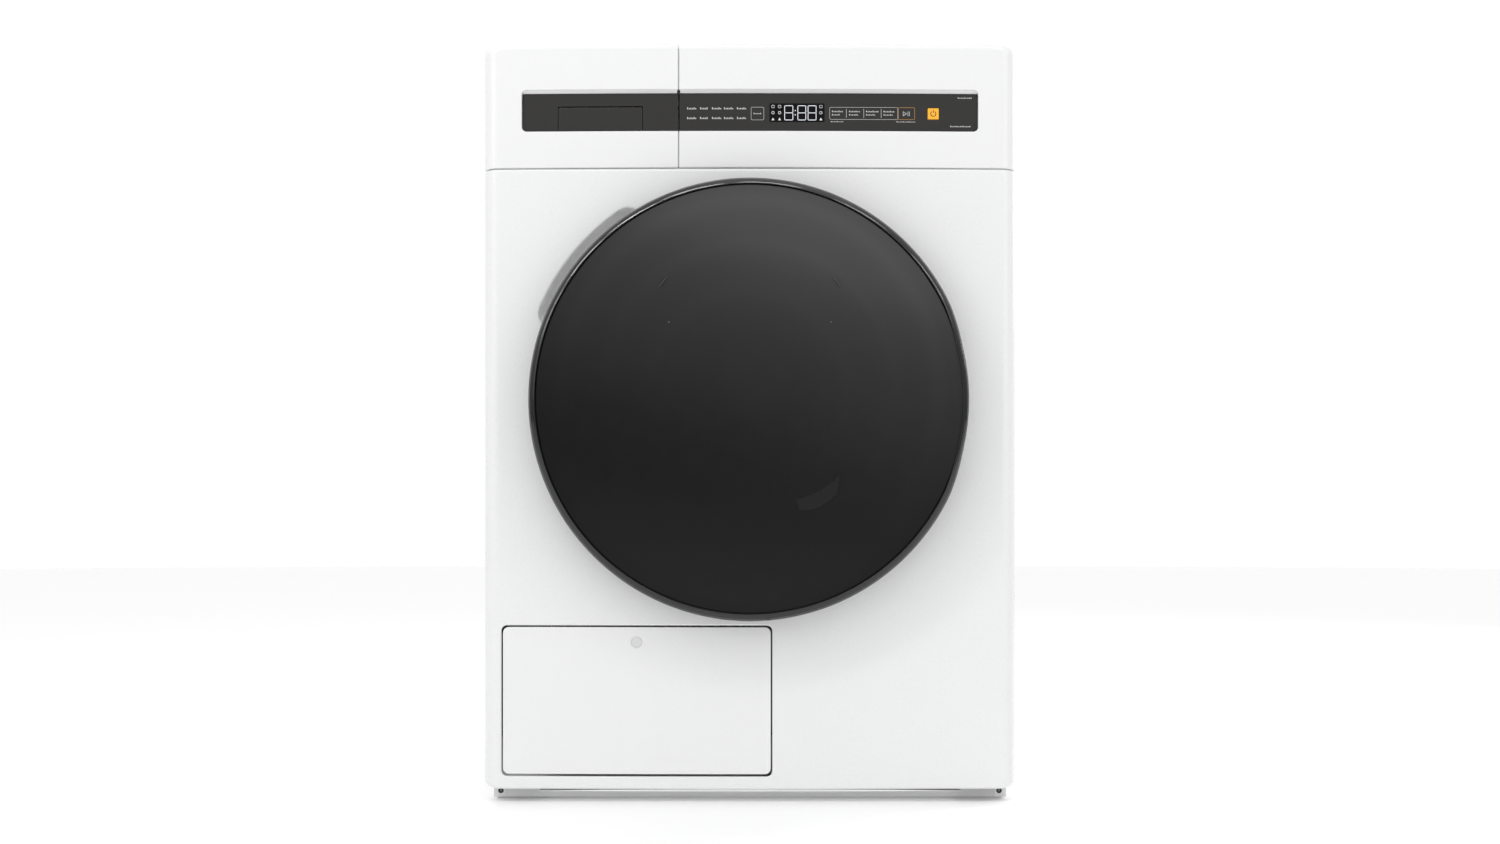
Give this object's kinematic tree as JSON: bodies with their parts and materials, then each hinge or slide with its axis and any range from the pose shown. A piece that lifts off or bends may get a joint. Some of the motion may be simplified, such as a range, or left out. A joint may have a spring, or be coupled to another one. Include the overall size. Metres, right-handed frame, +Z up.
{
  "type": "clothes dryer",
  "caption": "Front-loading heat pump clothes dryer with a round smoked door, water tank drawer, dark control strip and lower service flap.",
  "frame": {"origin": "on the floor, below the middle of the machine's overall box", "axes": "+X to the right seen from the front, +Y to the back (the door faces -Y), +Z up"},
  "size_m": [0.596, 0.655, 0.845],
  "materials": {
    "cabinet_enamel": "white enamelled sheet steel, semi-gloss",
    "worktop_laminate": "white laminate over chipboard",
    "white_moulding": "moulded white ABS, satin gloss",
    "smoked_cover": "smoked acrylic, polished",
    "door_rim": "black, high gloss",
    "bowl_glass": "clear pressed glass",
    "inner_grey": "moulded grey plastic, fine texture",
    "tank_plastic": "translucent grey plastic",
    "base_plastic": "moulded light grey plastic",
    "galvanised": "galvanised sheet steel",
    "drum_steel": "brushed stainless steel",
    "machined_steel": "plated and machined steel",
    "black_rubber": "moulded rubber",
    "black_plastic": "moulded black plastic",
    "compressor_paint": "black baked paint",
    "fin_aluminium": "bare aluminium fins",
    "copper_tube": "drawn copper tube",
    "amber_key": "amber translucent plastic, lit from behind"
  },
  "bodies": {
    "cabinet": {"base_tray": "base_plastic", "side_panel_left": "cabinet_enamel", "side_panel_right": "cabinet_enamel", "rear_panel": "galvanised", "rear_service_cover": "galvanised", "worktop": "worktop_laminate", "front_panel": "cabinet_enamel", "handle_cup": "white_moulding", "control_fascia": "white_moulding", "control_glass": "smoked_cover", "display_module": "black_plastic", "tank_cradle": "white_moulding", "hinge_bracket": "machined_steel", "door_lock": "inner_grey", "door_seal": "black_rubber", "front_bulkhead": "galvanised", "lint_filter_housing": "inner_grey", "rear_bulkhead": "galvanised", "rear_bearing": "machined_steel", "drive_motor": "galvanised", "blower_housing": "inner_grey", "drum_belt": "black_rubber", "belt_tensioner": "machined_steel", "compressor": "compressor_paint", "evaporator": "fin_aluminium", "condenser": "fin_aluminium", "discharge_pipe": "copper_tube", "condensate_pump": "inner_grey", "condensate_hose": "inner_grey", "filter_cassette": "inner_grey", "flap_catch": "black_plastic", "cord_inlet": "black_plastic"},
    "door": {"door_ring": "door_rim", "door_cover": "smoked_cover", "door_inner_frame": "inner_grey", "door_bowl": "bowl_glass", "door_hinge_leaf": "machined_steel", "door_hook": "machined_steel"},
    "tank_drawer": {"tank_front": "white_moulding", "tank_band": "smoked_cover", "water_tank": "tank_plastic"},
    "grip": {"grip_flap": "smoked_cover"},
    "service_flap": {"access_flap": "white_moulding"},
    "power_key": {"power_button": "amber_key"},
    "lint_screen": {"lint_filter": "inner_grey"},
    "drum": {"drum_shell": "drum_steel", "drum_rear_wall": "drum_steel", "drum_lifter_1": "inner_grey", "drum_lifter_2": "inner_grey", "drum_lifter_3": "inner_grey", "drum_shaft": "machined_steel"},
    "rotor": {"rotor_shaft": "machined_steel", "blower_wheel": "black_plastic"},
    "idler": {"idler_pulley": "inner_grey"},
    "roller_left": {"support_roller_left": "black_rubber"},
    "roller_right": {"support_roller_right": "black_rubber"},
    "foot_front_left": {"foot_front_left": "black_rubber"},
    "foot_front_right": {"foot_front_right": "black_rubber"},
    "foot_rear_left": {"foot_rear_left": "black_rubber"},
    "foot_rear_right": {"foot_rear_right": "black_rubber"}
  },
  "joints": [
    {"name": "door_hinge", "type": "hinge", "parent": "cabinet", "child": "door", "pos_m": [0.222, -0.303, 0.4458], "axis": [0, 0, 1], "range_deg": [0, 110]},
    {"name": "tank_slide", "type": "slide", "parent": "cabinet", "child": "tank_drawer", "axis": [0, -1, 0], "range_m": [0, 0.42]},
    {"name": "grip_push", "type": "hinge", "parent": "tank_drawer", "child": "grip", "pos_m": [-0.167, -0.2725, 0.749], "axis": [-1, 0, 0], "range_deg": [0, 35], "stiffness_Nm_per_rad": 0.03},
    {"name": "service_flap_hinge", "type": "hinge", "parent": "cabinet", "child": "service_flap", "pos_m": [-0.126, -0.2785, 0.0345], "axis": [1, 0, 0], "range_deg": [0, 90]},
    {"name": "power_press", "type": "slide", "parent": "cabinet", "child": "power_key", "axis": [0, 1, 0], "range_m": [0, 0.0015], "stiffness_N_per_m": 800},
    {"name": "lint_slide", "type": "slide", "parent": "cabinet", "child": "lint_screen", "axis": [0, 0, 1], "range_m": [0, 0.12]},
    {"name": "drum_spin", "type": "hinge", "parent": "cabinet", "child": "drum", "pos_m": [0, 0.03, 0.515], "axis": [0, 1, 0], "continuous": true},
    {"name": "motor_spin", "type": "hinge", "parent": "cabinet", "child": "rotor", "pos_m": [0.218, 0.06, 0.19], "axis": [0, 1, 0], "continuous": true},
    {"name": "idler_spin", "type": "hinge", "parent": "cabinet", "child": "idler", "pos_m": [0.11022, 0.15, 0.18578], "axis": [0, 1, 0], "continuous": true},
    {"name": "roller_left_spin", "type": "hinge", "parent": "cabinet", "child": "roller_left", "pos_m": [-0.2027, -0.182, 0.2735], "axis": [0, 1, 0], "continuous": true},
    {"name": "roller_right_spin", "type": "hinge", "parent": "cabinet", "child": "roller_right", "pos_m": [0.2027, -0.182, 0.2735], "axis": [0, 1, 0], "continuous": true},
    {"name": "foot_front_left_screw", "type": "slide", "parent": "cabinet", "child": "foot_front_left", "axis": [0, 0, -1], "range_m": [0, 0.012]},
    {"name": "foot_front_right_screw", "type": "slide", "parent": "cabinet", "child": "foot_front_right", "axis": [0, 0, -1], "range_m": [0, 0.012]},
    {"name": "foot_rear_left_screw", "type": "slide", "parent": "cabinet", "child": "foot_rear_left", "axis": [0, 0, -1], "range_m": [0, 0.012]},
    {"name": "foot_rear_right_screw", "type": "slide", "parent": "cabinet", "child": "foot_rear_right", "axis": [0, 0, -1], "range_m": [0, 0.012]}
  ],
  "couplings": [
    {"joint": "motor_spin", "follows": "drum_spin", "ratio": 30.489},
    {"joint": "idler_spin", "follows": "drum_spin", "ratio": -18.61},
    {"joint": "roller_left_spin", "follows": "drum_spin", "ratio": -9.5},
    {"joint": "roller_right_spin", "follows": "drum_spin", "ratio": -9.5}
  ]
}
